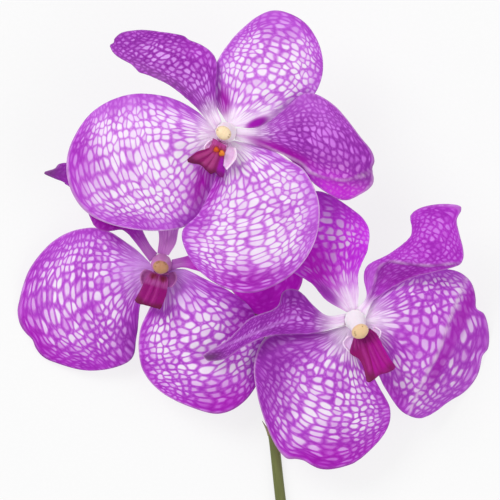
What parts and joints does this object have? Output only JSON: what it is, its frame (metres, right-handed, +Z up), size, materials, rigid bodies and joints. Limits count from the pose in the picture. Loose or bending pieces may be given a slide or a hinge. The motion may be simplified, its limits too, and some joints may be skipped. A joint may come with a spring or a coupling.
{
  "type": "cut orchid spray",
  "caption": "Cut vanda orchid spray lying down, face up: netted purple and white blooms with small dark lips, on short stalks along one green flower stem.",
  "frame": {"origin": "on the surface that the spray lies on, under the middle of its outline seen from above", "axes": "+Z up out of the blooms' faces, +Y along the spray from the cut end of the stem towards the topmost bloom, +X to the right seen from above"},
  "size_m": [0.1588, 0.2076, 0.051],
  "materials": {
    "sepal_and_petal": "fresh petal tissue, satin, with a magenta net on white",
    "lip": "dark fleshy lip tissue, satin",
    "column": "pale waxy column tissue",
    "anther_cap": "cream waxy cap, satin",
    "green_stem": "smooth olive green stem, satin"
  },
  "bodies": {
    "root": {"flower_stem": "green_stem", "top_bloom_stalk": "green_stem", "top_bloom_dorsal_sepal": "sepal_and_petal", "top_bloom_left_petal": "sepal_and_petal", "top_bloom_left_sepal": "sepal_and_petal", "top_bloom_right_sepal": "sepal_and_petal", "top_bloom_right_petal": "sepal_and_petal", "top_bloom_lip": "lip", "top_bloom_column": "column", "top_bloom_anther_cap": "anther_cap", "left_bloom_stalk": "green_stem", "left_bloom_dorsal_sepal": "sepal_and_petal", "left_bloom_left_petal": "sepal_and_petal", "left_bloom_left_sepal": "sepal_and_petal", "left_bloom_right_sepal": "sepal_and_petal", "left_bloom_right_petal": "sepal_and_petal", "left_bloom_lip": "lip", "left_bloom_column": "column", "left_bloom_anther_cap": "anther_cap", "right_bloom_stalk": "green_stem", "right_bloom_dorsal_sepal": "sepal_and_petal", "right_bloom_left_petal": "sepal_and_petal", "right_bloom_left_sepal": "sepal_and_petal", "right_bloom_right_sepal": "sepal_and_petal", "right_bloom_right_petal": "sepal_and_petal", "right_bloom_lip": "lip", "right_bloom_column": "column", "right_bloom_anther_cap": "anther_cap"}
  },
  "joints": []
}
